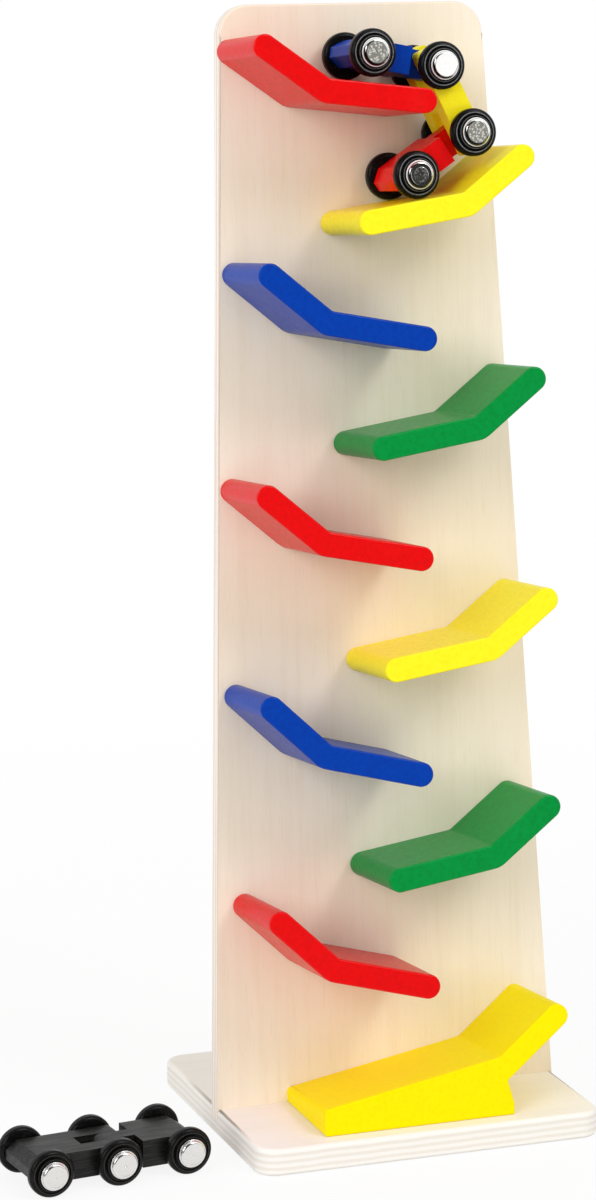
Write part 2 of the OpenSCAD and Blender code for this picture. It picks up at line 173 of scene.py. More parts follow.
class Net:
    """A node tree that is filled through one method."""

    kind = "Shader"

    def __init__(self, tree: bpy.types.NodeTree) -> None:
        """Wraps an empty tree."""
        self.tree = tree

    def add(
        self,
        node_type: str,
        settings: dict[str, Any] | None = None,
        inputs: dict[int | str, Any] | None = None,
        output: int | str = 0,
    ) -> Signal:
        """Adds any node.

        Args:
            node_type: Blender's name of the node type.
            settings: The node's own settings, set first. An index switch's number of items goes in as
                "items".
            inputs: Values or signals by socket name or place.
            output: The output to return, by name or place.

        Returns:
            That output, or the node's first one.
        """
        node = self.tree.nodes.new(node_type)
        for name, value in (settings or {}).items():
            if name == "items":
                while len(node.index_switch_items) < value:
                    node.index_switch_items.new()
            else:
                setattr(node, name, value)
        for key, value in (inputs or {}).items():
            self.feed(node.inputs[key], value)
        return Signal(self, node.outputs[output]) if len(node.outputs) else Signal(self, node.inputs[0])

    def feed(self, socket: bpy.types.NodeSocket, value: Any) -> None:
        """Links a signal to an input, or sets the input's own value.

        Args:
            socket: The input.
            value: A signal, number, colour or vector.
        """
        if isinstance(value, Signal):
            self.tree.links.new(value.socket, socket)
            return
        if socket.type == "RGBA" and len(value) == 3:
            value = (*value, 1.0)
        socket.default_value = value


class ShaderNet(Net):
    """The node tree of a material, with the few nodes that most finishes share."""

    def __init__(self, name: str) -> None:
        """Makes a material with an empty tree.

        Args:
            name: The material's name.
        """
        self.material = bpy.data.materials.new(name)
        self.material.use_nodes = True
        super().__init__(self.material.node_tree)
        self.tree.nodes.clear()

    def place(self, turn: Euler = Euler(), stretch: tuple[float, float, float] = (1, 1, 1)) -> Signal:
        """The object's own coordinates, turned and then stretched.

        Args:
            turn: Rotation into the piece's own directions.
            stretch: Scale along each of them.

        Returns:
            The coordinates.
        """
        coordinates = self.add("ShaderNodeTexCoord", output="Object")
        turned = self.add("ShaderNodeMapping", {"vector_type": "POINT"}, {"Vector": coordinates, "Rotation": turn})
        return self.add("ShaderNodeVectorMath", {"operation": "MULTIPLY"}, {0: turned, 1: stretch})

    def facing(self) -> Signal:
        """The surface's direction in the object's own axes."""
        normal = self.add("ShaderNodeNewGeometry", output="Normal")
        settings = {"vector_type": "NORMAL", "convert_from": "WORLD", "convert_to": "OBJECT"}
        return self.add("ShaderNodeVectorTransform", settings, {0: normal})

    def noise(self, where: Signal, scale: float, detail: float = 3.0, roughness: float = 0.5) -> Signal:
        """Fractal noise about one half.

        Args:
            where: Coordinates.
            scale: Repeats in a metre of them.
            detail: Number of finer layers.
            roughness: Weight of the finer layers.

        Returns:
            The noise from 0 to 1.
        """
        inputs = {"Vector": where, "Scale": scale, "Detail": detail, "Roughness": roughness}
        return self.add("ShaderNodeTexNoise", {}, inputs, "Fac")

    def blend(self, share: Any, first: Any, second: Any, kind: str = "MIX") -> Signal:
        """Mixes two colours.

        Args:
            share: How much of the second.
            first: First colour.
            second: Second colour.
            kind: Way of blending.

        Returns:
            The mixed colour.
        """
        settings = {"data_type": "RGBA", "blend_type": kind}
        return self.add("ShaderNodeMix", settings, {0: share, 6: first, 7: second}, 2)

    def bump(self, height: Signal, strength: float, distance: float) -> Signal:
        """A bumped normal.

        Args:
            height: Height from 0 to 1.
            strength: How much of the bump is used.
            distance: Real height of the bump.

        Returns:
            The normal.
        """
        inputs = {"Strength": strength, "Distance": distance, "Height": height}
        return self.add("ShaderNodeBump", {}, inputs, "Normal")

    def finish(self, **inputs: Any) -> bpy.types.Material:
        """Ends the tree in one Principled shader.

        Args:
            **inputs: The shader's sockets, with underscores for spaces.

        Returns:
            The material.
        """
        named = {name.replace("_", " "): value for name, value in inputs.items()}
        shader = self.add("ShaderNodeBsdfPrincipled", {}, named)
        self.add("ShaderNodeOutputMaterial", {}, {"Surface": shader})
        return self.material


class GeometryNet(Net):
    """A Geometry Nodes tree with named inputs."""

    SOCKETS = {float: "NodeSocketFloat", int: "NodeSocketInt", Vector: "NodeSocketVector"}

    def __init__(self, name: str, sizes: dict[str, type]) -> None:
        """Makes the tree's interface.

        Args:
            name: The tree's name.
            sizes: Name and type of each input besides the geometry and the material.
        """
        super().__init__(bpy.data.node_groups.new(name, "GeometryNodeTree"))
        face = self.tree.interface
        face.new_socket("Geometry", in_out="OUTPUT", socket_type="NodeSocketGeometry")
        face.new_socket("Geometry", in_out="INPUT", socket_type="NodeSocketGeometry")
        self.names = {size: face.new_socket(size, in_out="INPUT", socket_type=self.SOCKETS[kind]).identifier
                      for size, kind in sizes.items()}
        self.names["Material"] = face.new_socket(
            "Material", in_out="INPUT", socket_type="NodeSocketMaterial"
        ).identifier
        self.entry = self.tree.nodes.new("NodeGroupInput")

    def given(self, name: str) -> Signal:
        """The group input of that name."""
        return Signal(self, self.entry.outputs[name])

    def close(self, geometry: Signal) -> None:
        """Ends the tree in Realize Instances and Set Material.

        Args:
            geometry: What the tree has made.
        """
        real = self.add("GeometryNodeRealizeInstances", {}, {0: geometry})
        painted = self.add("GeometryNodeSetMaterial", {}, {"Geometry": real, "Material": self.given("Material")})
        exit_node = self.tree.nodes.new("NodeGroupOutput")
        self.feed(exit_node.inputs[0], painted)

    def grow(
        self, name: str, material: bpy.types.Material, seed: bpy.types.Mesh | None = None, **sizes: Any
    ) -> bpy.types.Object:
        """Runs the tree once and keeps the result as a plain mesh.

        Args:
            name: The new object's name.
            material: Its material.
            seed: The mesh that the tree starts from, if it needs one.
            **sizes: The tree's inputs, with underscores for spaces.

        Returns:
            The object, at the origin, with no modifier.
        """
        piece = new_object(name, seed or bpy.data.meshes.new(name))
        modifier = piece.modifiers.new(name, "NODES")
        modifier.node_group = self.tree
        modifier[self.names["Material"]] = material
        for key, value in sizes.items():
            modifier[self.names[key.replace("_", " ")]] = value
        return settle(piece)


# Meshes


def new_object(name: str, mesh: bpy.types.Mesh) -> bpy.types.Object:
    """Puts a mesh into the scene.

    Args:
        name: The object's name.
        mesh: Its mesh.

    Returns:
        The object, at the origin.
    """
    piece = bpy.data.objects.new(name, mesh)
    bpy.context.scene.collection.objects.link(piece)
    return piece


def settle(piece: bpy.types.Object, mend: bool = True) -> bpy.types.Object:
    """Turns a piece's modifiers into plain mesh.

    Args:
        piece: The piece.
        mend: Whether to close its seams and point its faces outwards too.

    Returns:
        The same piece, with no modifier.
    """
    bpy.context.view_layer.update()
    graph = bpy.context.evaluated_depsgraph_get()
    mesh = bpy.data.meshes.new_from_object(piece.evaluated_get(graph), preserve_all_data_layers=True, depsgraph=graph)
    piece.modifiers.clear()
    piece.data = mesh
    if not mend:
        return piece
    work = bmesh.new()
    work.from_mesh(mesh)
    bmesh.ops.remove_doubles(work, verts=work.verts, dist=SEAM)
    bmesh.ops.recalc_face_normals(work, faces=work.faces)
    work.to_mesh(mesh)
    work.free()
    return piece


def smooth(piece: bpy.types.Object, corner: float = 35) -> None:
    """Shades a piece smooth, with its corners sharp and its flat faces flat.

    Args:
        piece: The piece.
        corner: Angle in degrees from which an edge stays sharp.
    """
    piece.data.shade_smooth()
    piece.data.set_sharp_from_angle(angle=math.radians(corner))
    weights = piece.modifiers.new("flat faces", "WEIGHTED_NORMAL")
    weights.mode = "FACE_AREA"
    weights.weight = 100
    weights.keep_sharp = True
    settle(piece, mend=False)


def ease_edges(piece: bpy.types.Object, radius: float, corner: float = CORNER) -> None:
    """Rounds a piece's corners over, as sanding does.

    Args:
        piece: The piece.
        radius: Radius of the rounding.
        corner: Angle in degrees from which an edge is rounded.
    """
    bevel = piece.modifiers.new("eased edges", "BEVEL")
    bevel.width = radius
    bevel.segments = 3
    bevel.limit_method = "ANGLE"
    bevel.angle_limit = math.radians(corner)
    bevel.use_clamp_overlap = True
    settle(piece)


def copy_of(node: str, name: str) -> bpy.types.Object:
    """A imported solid's mesh as a new object, merged and with its flat faces whole.

    Args:
        node: The solid's node.
        name: The new object's name.

    Returns:
        The copy, at the origin.
    """
    work = bmesh.new()
    work.from_mesh(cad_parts[node].data)
    bmesh.ops.remove_doubles(work, verts=work.verts, dist=SEAM)
    bmesh.ops.dissolve_limit(work, angle_limit=math.radians(0.3), verts=work.verts, edges=work.edges)
    mesh = bpy.data.meshes.new(name)
    work.to_mesh(mesh)
    work.free()
    return new_object(name, mesh)


def round_over(piece: bpy.types.Object, radius: float, chosen: Callable[[bmesh.types.BMEdge], bool]) -> None:
    """Rounds over only some of a piece's sharp edges.

    Args:
        piece: The piece.
        radius: Radius of the rounding.
        chosen: Says whether an edge is one of them.
    """
    work = bmesh.new()
    work.from_mesh(piece.data)
    sharp = [e for e in work.edges if e.is_manifold and e.calc_face_angle(0) > math.radians(CORNER) and chosen(e)]
    bmesh.ops.bevel(work, geom=sharp, offset=radius, segments=3, profile=0.5, affect="EDGES", clamp_overlap=True)
    bmesh.ops.recalc_face_normals(work, faces=work.faces)
    work.to_mesh(piece.data)
    work.free()


def cover(piece: bpy.types.Object, material: bpy.types.Material) -> None:
    """Gives a piece one finish in place of any that it has.

    Args:
        piece: The piece.
        material: The finish.
    """
    piece.data.materials.clear()
    piece.data.materials.append(material)


def dress(piece: bpy.types.Object, body: str, nodes: Iterable[str]) -> bpy.types.Object:
    """Makes a piece ride on its body in place of its solids, and reports it.

    Args:
        piece: The finished piece.
        body: The body that carries it.
        nodes: The solids that it stands for.

    Returns:
        The piece.
    """
    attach(piece, body)
    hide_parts(*nodes)
    LOG.info("%s: %d faces, rides on %s", piece.name, len(piece.data.polygons), body)
    return piece


# Finishes


class Grain(Enum):
    """The direction in which the wood of a piece grew, as stretches of its own X, Y and Z."""

    ACROSS = (0.06, 1.0, 1.0)
    UPWARDS = (1.0, 1.0, 0.045)


@dataclass(frozen=True)
class Plywood:
    """Sanded plywood: a veneer with streaks along the grain, and layers on its edges."""

    name: str
    pale: Colour
    warm: Colour
    dark: Colour
    layer_pale: Colour
    layer_dark: Colour
    grain: Grain
    turn: Euler
    layers: float
    thickness: float
    through: int
    start: float
    figure: float = 0.5
    gloss: float = 0.5

    def material(self) -> bpy.types.Material:
        """Builds the finish."""
        net = ShaderNet(self.name)
        flat = net.place(self.turn)
        along = net.place(self.turn, self.grain.value)
        broad = net.noise(along, 42, 2, 0.45)
        streak = net.noise(along, 210, 4, 0.62)
        fine = net.noise(along, 900, 3, 0.7)
        rings = ((broad * 46 + streak * 2.5).wave() * 0.5 + 0.5).ramp(0.05, 1.0)
        cloud = net.noise(flat, 9, 2, 0.5)
        colour = net.blend(cloud.ramp(0.3, 0.7), self.pale, self.warm)
        colour = net.blend(rings * streak.ramp(0.3, 0.75) * (self.figure * 0.45), colour, self.dark)
        colour = net.blend(fine.ramp(0.5, 0.8) * (self.figure * 0.7), colour, self.dark)
        pore = net.noise(along, 2600, 2, 0.5).ramp(0.62, 0.74)
        colour = net.blend(pore * (self.figure * 0.9), colour, self.dark)
        edge, bands = self._edge(net, flat)
        layer = net.blend(bands, self.layer_pale, self.layer_dark)
        fibre = net.noise(flat, 1500, 2, 0.6)
        layer = net.blend(fibre.ramp(0.5, 0.8) * 0.3, layer, self.dark)
        colour = net.blend(edge, colour, layer)
        height = streak * 0.5 + fine * 0.35 + pore * -0.3 + edge * bands * -0.4
        rough = self.gloss + streak * 0.16 + edge * 0.14
        return net.finish(
            Base_Color=colour, Roughness=rough, Normal=net.bump(height, 0.3, 0.1 * MM), Specular_IOR_Level=0.3
        )

    def _edge(self, net: ShaderNet, flat: Signal) -> tuple[Signal, Signal]:
        """Where the sawn edge is, and its dark layers.

        Args:
            net: The material's tree.
            flat: The piece's coordinates.

        Returns:
            A mask of the edge, and one of the dark layers on it.
        """
        normal = net.add("ShaderNodeMapping", {"vector_type": "NORMAL"},
                         {"Vector": net.facing(), "Rotation": self.turn})
        facing = abs(net.add("ShaderNodeSeparateXYZ", {}, {0: normal}, self.through))
        depth = net.add("ShaderNodeSeparateXYZ", {}, {0: flat}, self.through)
        wobble = net.noise(flat, 60, 2, 0.5) * 0.35
        phase = (depth - self.start) / self.thickness * self.layers + wobble
        bands = ((phase * math.tau).wave() * 0.5 + 0.5).ramp(0.35, 0.75)
        return 1 - facing.ramp(0.55, 0.85), bands


@dataclass(frozen=True)
class Paint:
    """Thick satin paint on wood, with the grain and brush telegraphing through it."""

    name: str
    colour: Colour
    deep: Colour
    thin: Colour
    gloss: float = 0.3
    coat: float = 0.33

    def material(self) -> bpy.types.Material:
        """Builds the finish."""
        net = ShaderNet(self.name)
        flat = net.place()
        along = net.place(stretch=Grain.ACROSS.value)
        mottle = net.noise(flat, 420, 4, 0.66)
        cloud = net.noise(flat, 55, 3, 0.5)
        grain = net.noise(along, 520, 3, 0.6)
        speck = net.noise(flat, 1900, 2, 0.6)
        colour = net.blend(mottle.ramp(0.4, 0.7) * 0.5, self.colour, self.deep)
        colour = net.blend(cloud.ramp(0.55, 0.8) * 0.1, colour, self.thin)
        colour = net.blend(speck.ramp(0.64, 0.76) * 0.14, colour, self.thin)
        height = mottle * 0.5 + grain * 0.35 + speck * 0.3
        rough = self.gloss + mottle * 0.12 + cloud * 0.06
        return net.finish(
            Base_Color=colour, Roughness=rough, Normal=net.bump(height, 0.35, 0.12 * MM), Specular_IOR_Level=0.04,
            Coat_Weight=(mottle.ramp(0.3, 0.7) + grain + 0.4) * (self.coat * 0.7), Coat_Roughness=0.16,
        )


@dataclass(frozen=True)
class Stain:
    """Dark stain through which the grain of the wood shows."""

    name: str
    colour: Colour
    pale: Colour
    turn: Euler

    def material(self) -> bpy.types.Material:
        """Builds the finish."""
        net = ShaderNet(self.name)
        flat = net.place(self.turn)
        along = net.place(self.turn, Grain.ACROSS.value)
        streak = net.noise(along, 900, 4, 0.65)
        hair = net.noise(along, 2600, 2, 0.6)
        cloud = net.noise(flat, 120, 2, 0.5)
        colour = net.blend(streak.ramp(0.44, 0.7) * 0.6, self.colour, self.pale)
        colour = net.blend(hair.ramp(0.58, 0.74) * 0.5, colour, self.pale)
        height = streak * 0.7 + hair * 0.5
        rough = 0.42 + streak * 0.16 + cloud * 0.08
        return net.finish(
            Base_Color=colour, Roughness=rough, Normal=net.bump(height, 0.5, 0.1 * MM), Specular_IOR_Level=0.12,
            Coat_Weight=streak.ramp(0.3, 0.7) * 0.3 + 0.15, Coat_Roughness=0.28,
        )


@dataclass(frozen=True)
class WheelBlack:
    """Deep glossy black with dust, fine rub marks, and grey rings painted on the outer face as highlights on its
    edges.
    """

    name: str
    colour: Colour
    dust: Colour
    rubbed: Colour
    face_at: float
    lines: tuple[tuple[float, float, float], ...]

    def material(self) -> bpy.types.Material:
        """Builds the finish."""
        net = ShaderNet(self.name)
        flat = net.place()
        speck = net.noise(flat, 2400, 2, 0.6).ramp(0.66, 0.74)
        haze = net.noise(flat, 260, 3, 0.6)
        rub = net.noise(flat, 1100, 4, 0.7)
        colour = net.blend(speck * 0.35 + haze.ramp(0.5, 0.8) * 0.04, self.colour, self.dust)
        # Painted highlights: grey rings on the outer face stand in for light caught by its edges, broken up by rub
        # marks.
        worn = self._worn(net) * rub.ramp(0.3, 0.6, 0.45, 1.0)
        colour = net.blend(worn, colour, self.rubbed)
        rough = 0.2 + haze * 0.16 + speck * 0.3
        return net.finish(
            Base_Color=colour, Roughness=rough, Normal=net.bump(rub, 0.12, 0.05 * MM), Specular_IOR_Level=0.12
        )

    def _worn(self, net: ShaderNet) -> Signal:
        """Where grey highlight rings are painted on the outer face.

        Args:
            net: The material's tree.

        Returns:
            A mask of the painted highlight rings.
        """
        reach = net.add("ShaderNodeAttribute", {"attribute_name": "reach"}, output="Fac")
        along = abs(net.add("ShaderNodeAttribute", {"attribute_name": "along"}, output="Fac"))
        outside = along.ramp(self.face_at - 0.6 * MM, self.face_at - 0.3 * MM)
        rings = [(1 - abs(reach - place) / half).ramp(0.0, 0.7) * weight for place, half, weight in self.lines]
        return sum(rings[1:], rings[0]).at_most(1.0) * outside


@dataclass(frozen=True)
class Metal:
    """Bright metal with a pale, duller lip that also paints a highlight ring, painted shade on the lower-left
    rounding, and a face that may be dull or hammered, whose colour and dark dents paint its reflection.
    """

    # The lip's pale colour, a duller finish that also paints a highlight ring, and the near-black colour of the
    # painted shade on the lower-left rounding.
    SATIN: ClassVar[Colour] = (0.93, 0.92, 0.9)
    GRIME: ClassVar[Colour] = (0.012, 0.011, 0.01)

    name: str
    colour: Colour
    worn: Colour
    gloss: float
    hammered: float = 0.0
    face: Colour | None = None
    face_metallic: float = 1.0
    face_to: float = 0.72
    lip_from: float = 0.925
    satin: float = 0.0
    grime: float = 0.0

    def material(self) -> bpy.types.Material:
        """Builds the finish."""
        net = ShaderNet(self.name)
        flat = net.place()
        haze = net.noise(flat, 500, 3, 0.6)
        scratch = net.noise(net.place(stretch=(1.0, 0.4, 0.25)), 2600, 3, 0.7)
        colour = net.blend(haze.ramp(0.45, 0.75) * 0.2, self.colour, self.worn)
        rough = self.gloss + scratch * 0.08
        height = scratch * 0.15
        metallic: Any = 1.0
        if self.satin > 0 or self.face:
            reach = net.add("ShaderNodeAttribute", {"attribute_name": "reach"}, output="Fac")
            # Painted highlight: the lip is made pale, rougher and less metallic, a duller finish that also stands in
            # for a white highlight ring.
            lip = reach.ramp(self.lip_from, self.lip_from + 0.01) * self.satin
            inside = 1 - reach.ramp(self.face_to - 0.05, self.face_to + 0.03)
            colour = net.blend(lip, colour, self.SATIN)
            rough = rough + lip * 0.35
            metallic = 1 - lip * 0.7
            # Painted shade: the rounding outside the lip and the face turns near black where it faces left and down.
            if self.grime > 0:
                across, height_of = (net.add("ShaderNodeSeparateXYZ", {}, {0: net.facing()}, k) for k in (0, 2))
                lower_left_shade = (across * -0.6 - height_of * 0.8).ramp(0.0, 0.3)
                colour = net.blend(lower_left_shade * (1 - lip) * (1 - inside) * self.grime, colour, self.GRIME)
            # Painted reflection: the face takes its own colour, with less metal in it, in place of what it would
            # reflect.
            if self.face:
                colour = net.blend(inside, colour, self.face)
                metallic = metallic - inside * (1 - self.face_metallic)
            if self.hammered > 0:
                dents = net.add("ShaderNodeTexVoronoi", {"feature": "SMOOTH_F1"},
                                {"Vector": flat, "Scale": 900.0, "Smoothness": 0.3}, "Distance")
                dents = dents + net.noise(flat, 1500, 3, 0.7) * 0.8
                # The dents are real bumps, and their darker colour paints a patterned reflection in them.
                colour = net.blend(inside * dents.ramp(0.55, 1.0) * self.hammered, colour, self.worn)
                height = height + inside * dents * (2.0 * self.hammered)
                rough = rough + inside * 0.1 * self.hammered
        return net.finish(
            Base_Color=colour, Metallic=metallic, Roughness=rough, Normal=net.bump(height, 0.5, 0.16 * MM)
        )


# The tower


@dataclass(frozen=True)
class PanelFrame:
    """Places on the panel: across, up from the foot of its front face, and out from it."""

    lean: float = math.radians(5.9)
    foot_y: float = -11.4 * MM
    foot_z: float = 12.5 * MM
    height: float = 496 * MM
    half_width: float = 82.5 * MM

    def point(self, across: float, up: float, out: float = 0.0) -> Vector:
        """A place on the panel in the shared frame."""
        y = self.foot_y - out * math.cos(self.lean) + up * math.sin(self.lean)
        z = self.foot_z + out * math.sin(self.lean) + up * math.cos(self.lean)
        return Vector((across, y, z))

    def turn(self, extra: float = 0.0) -> Euler:
        """The panel's rotation about X, with some more."""
        return Euler((extra - self.lean, 0.0, 0.0))


class Side(Enum):
    """The side of the panel at which a ramp is high."""

    LEFT = 1
    RIGHT = -1


class BentBarTree(GeometryNet):
    """Makes a bent bar with rounded ends from its sizes, and stands it out from the panel."""

    CORNERS = 6

    def __init__(self) -> None:
        """Builds the tree."""
        super().__init__("bent bar", {
            "Long Arm": float, "Steep Arm": float, "Thickness": float, "Bend": float, "Depth": float,
            "Mirror": Vector, "Slope": Vector, "Corner": Vector, "Stand": Vector, "Foot": Vector,
        })
        outline = self._outline()
        face = self.add("GeometryNodeFillCurve", {"mode": "NGONS"}, {"Curve": outline})
        walls = self.add("GeometryNodeExtrudeMesh", {},
                         {"Mesh": face, "Offset Scale": self.given("Depth"), "Individual": False})
        back = self.add("GeometryNodeFlipFaces", {}, {"Mesh": face})
        bar = self._join(walls, back)
        bar = self.add("GeometryNodeTransform", {}, {
            "Geometry": bar, "Scale": self.given("Mirror"), "Rotation": self.given("Slope"),
            "Translation": self.given("Corner"),
        })
        bar = self.add("GeometryNodeTransform", {}, {
            "Geometry": bar, "Rotation": self.given("Stand"), "Translation": self.given("Foot"),
        })
        self.close(self.add("GeometryNodeMergeByDistance", {}, {"Geometry": bar, "Distance": 0.002 * MM}))

    def _join(self, *parts: Signal) -> Signal:
        """Joins geometries.

        Args:
            *parts: What is joined.

        Returns:
            The joined geometry.
        """
        node = self.tree.nodes.new("GeometryNodeJoinGeometry")
        for part in parts:
            self.tree.links.new(part.socket, node.inputs[0])
        return Signal(self, node.outputs[0])

    def _outline(self) -> Signal:
        """The bar's side view as a closed curve, with the inner corner at the origin."""
        long_arm, steep_arm = self.given("Long Arm"), self.given("Steep Arm")
        thick, bend = self.given("Thickness"), self.given("Bend")
        half = thick * 0.5
        cosine = self.add("ShaderNodeMath", {"operation": "COSINE"}, {0: bend})
        sine = self.add("ShaderNodeMath", {"operation": "SINE"}, {0: bend})
        lean = self.add("ShaderNodeMath", {"operation": "TANGENT"}, {0: bend * 0.5})
        reach = steep_arm + half
        places = [
            (0.0, 0.0),
            (long_arm + half, 0.0),
            (long_arm + half, -thick),
            (-(thick * lean), -thick),
            (-(reach * cosine) - thick * sine, reach * sine - thick * cosine),
            (-(reach * cosine), reach * sine),
        ]
        points = {str(i): self.add("ShaderNodeCombineXYZ", {}, {0: x, 1: y}) for i, (x, y) in enumerate(places)}
        radii = {"0": 0.0, "1": half, "2": half, "3": thick, "4": half, "5": half}
        index = self.add("GeometryNodeInputIndex")
        where = self.add("GeometryNodeIndexSwitch", {"data_type": "VECTOR", "items": self.CORNERS},
                         {"Index": index, **points})
        radius = self.add("GeometryNodeIndexSwitch", {"data_type": "FLOAT", "items": self.CORNERS},
                          {"Index": index, **radii})
        line = self.add("GeometryNodeMeshLine", {}, {"Count": self.CORNERS})
        line = self.add("GeometryNodeSetPosition", {}, {"Geometry": line, "Position": where})
        curve = self.add("GeometryNodeMeshToCurve", {}, {"Mesh": line})
        closed = self.add("GeometryNodeSetSplineCyclic", {}, {0: curve, "Cyclic": True})
        return self.add("GeometryNodeFilletCurve", {"mode": "POLY"},
                        {"Curve": closed, "Radius": radius, "Limit Radius": True, "Count": 14})


@dataclass
class Ramp:
    """One bent ramp of the tower."""

    number: int
    colour: str
    up_share: float
    across_share: float
    slope: float
    long_arm: float = 45 * MM
    steep_arm: float = 32 * MM
    thickness: float = 11 * MM
    depth: float = 51 * MM
    bend: float = 29
    ease: float = 0.9 * MM

    @property
    def side(self) -> Side:
        """The side at which the ramp is high."""
        return Side.LEFT if self.number % 2 else Side.RIGHT

    @property
    def node(self) -> str:
        """The ramp's solid."""
        return f"ramp_{self.number}_{self.colour}"

    def build(self, panel: PanelFrame, tree: BentBarTree, paint: bpy.types.Material) -> bpy.types.Object:
        """Makes the ramp and hangs it on the tower.

        Args:
            panel: The panel that it stands on.
            tree: The tree that makes bent bars.
            paint: Its paint.

        Returns:
            The ramp.
        """
        sign = self.side.value
        piece = tree.grow(
            f"painted_{self.node}", paint, Long_Arm=self.long_arm, Steep_Arm=self.steep_arm,
            Thickness=self.thickness, Bend=math.radians(self.bend), Depth=self.depth,
            Mirror=(sign, 1.0, 1.0), Slope=(0.0, 0.0, -sign * math.radians(self.slope)),
            Corner=(-sign * self.across_share * panel.half_width, self.up_share * panel.height, 0.0),
            Stand=tuple(panel.turn(math.pi / 2)), Foot=(0.0, panel.foot_y, panel.foot_z),
        )
        ease_edges(piece, self.ease)
        smooth(piece)
        return dress(piece, "tower", [self.node])


@dataclass
class Tower:
    """The base, the panel, the ramps and the screws."""

    panel: PanelFrame = field(default_factory=PanelFrame)
    panel_thickness: float = 8 * MM
    base_thickness: float = 12.5 * MM
    panel_ease: float = 1.0 * MM
    exit_ease: float = 0.9 * MM
    hole_margin: float = 6 * MM
    ramps: tuple[Ramp, ...] = (
        Ramp(1, "red", 0.9296, 0.36, 6.6),
        Ramp(2, "yellow", 0.8264, 0.376, 7.9),
        Ramp(3, "blue", 0.7268, 0.39, 11),
        Ramp(4, "green", 0.6276, 0.407, 8.3),
        Ramp(5, "red", 0.5323, 0.447, 11.7),
        Ramp(6, "yellow", 0.4284, 0.44, 7.8),
        Ramp(7, "blue", 0.3427, 0.479, 14.6),
        Ramp(8, "green", 0.2391, 0.422, 8.1),
        Ramp(9, "red", 0.15, 0.475, 15),
    )

    def build(self, paints: dict[str, bpy.types.Material], zinc: bpy.types.Material) -> None:
        """Makes every piece of the tower.

        Args:
            paints: The paints by colour.
            zinc: The screws' finish.
        """
        self._base()
        self._panel()
        self._exit_ramp(paints["bright yellow"])
        tree = BentBarTree()
        for ramp in self.ramps:
            ramp.build(self.panel, tree, paints[ramp.colour])
        for node in ("ramp_screws", "base_screws"):
            repaint(node, zinc)

    def _base(self) -> None:
        """The base plate, of pale washed plywood."""
        piece = copy_of("base_plate", "washed_base")
        smooth(piece, 40)
        finish = Plywood(
            "washed plywood", linear(248, 244, 238), linear(245, 239, 231), linear(226, 214, 199),
            linear(243, 240, 234), linear(233, 227, 218), Grain.ACROSS, Euler(), 4.0, self.base_thickness, 2, 0.0,
            figure=0.26,
        )
        cover(piece, finish.material())
        dress(piece, "tower", ["base_plate"])

    def _panel(self) -> None:
        """The back panel, of birch plywood, with its outer edges rounded over."""
        piece = copy_of("back_panel", "veneered_panel")
        screws = island_centres("ramp_screws") + island_centres("base_screws")
        out = self.panel.point(0, 0, 1) - self.panel.point(0, 0)
        foot = self.panel.foot_z + 2 * MM

        def is_outer(edge: bmesh.types.BMEdge) -> bool:
            """Whether an edge is clear of every screw and of the groove."""
            for vert in edge.verts:
                if vert.co.z < foot:
                    return False
                for centre in screws:
                    away = vert.co - centre
                    if (away - out * away.dot(out)).length < self.hole_margin:
                        return False
            return True

        round_over(piece, self.panel_ease, is_outer)
        smooth(piece, 40)
        finish = Plywood(
            "birch plywood", linear(247, 236, 218), linear(243, 229, 206), linear(219, 191, 156),
            linear(249, 244, 235), linear(238, 219, 205), Grain.UPWARDS, Euler((self.panel.lean, 0.0, 0.0)),
            2.5, self.panel_thickness, 1, self._front_at_rest(), figure=0.26,
        )
        cover(piece, finish.material())
        dress(piece, "tower", ["back_panel"])

    def _front_at_rest(self) -> float:
        """The front face's place along the panel's own thickness."""
        return (Matrix.Rotation(self.panel.lean, 3, "X") @ self.panel.point(0, 0)).y

    def _exit_ramp(self, paint: bpy.types.Material) -> None:
        """The wedge on the base, with eased edges."""
        piece = copy_of("exit_ramp", "painted_exit_ramp")
        wall = self.panel.foot_y - 4 * MM

        def is_outer(edge: bmesh.types.BMEdge) -> bool:
            """Whether an edge isn't at the panel, where the screw holes are."""
            return all(vert.co.y < wall - 2 * MM for vert in edge.verts) or edge.calc_length() > 20 * MM

        round_over(piece, self.exit_ease, is_outer)
        smooth(piece)
        cover(piece, paint)
        dress(piece, "tower", ["exit_ramp"])


def island_centres(node: str) -> list[Vector]:
    """The middle of each separate solid in a node.

    Args:
        node: The node.

    Returns:
        One point for each solid.
    """
    work = bmesh.new()
    work.from_mesh(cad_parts[node].data)
    bmesh.ops.remove_doubles(work, verts=work.verts, dist=SEAM)
    centres: list[Vector] = []
    left = set(work.verts)
    while left:
        island = {left.pop()}
        rim = list(island)
        while rim:
            for edge in rim.pop().link_edges:
                for vert in edge.verts:
                    if vert in left:
                        left.discard(vert)
                        island.add(vert)
                        rim.append(vert)
        centres.append(sum((vert.co for vert in island), Vector()) / len(island))
    work.free()
    return centres


def repaint(node: str, material: bpy.types.Material) -> None:
    """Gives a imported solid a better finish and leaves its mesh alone.

    Args:
        node: The solid's node.
        material: The finish.
    """
    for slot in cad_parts[node].material_slots:
        slot.material = material
    LOG.info("%s: finished as %s", node, material.name)


# The trains


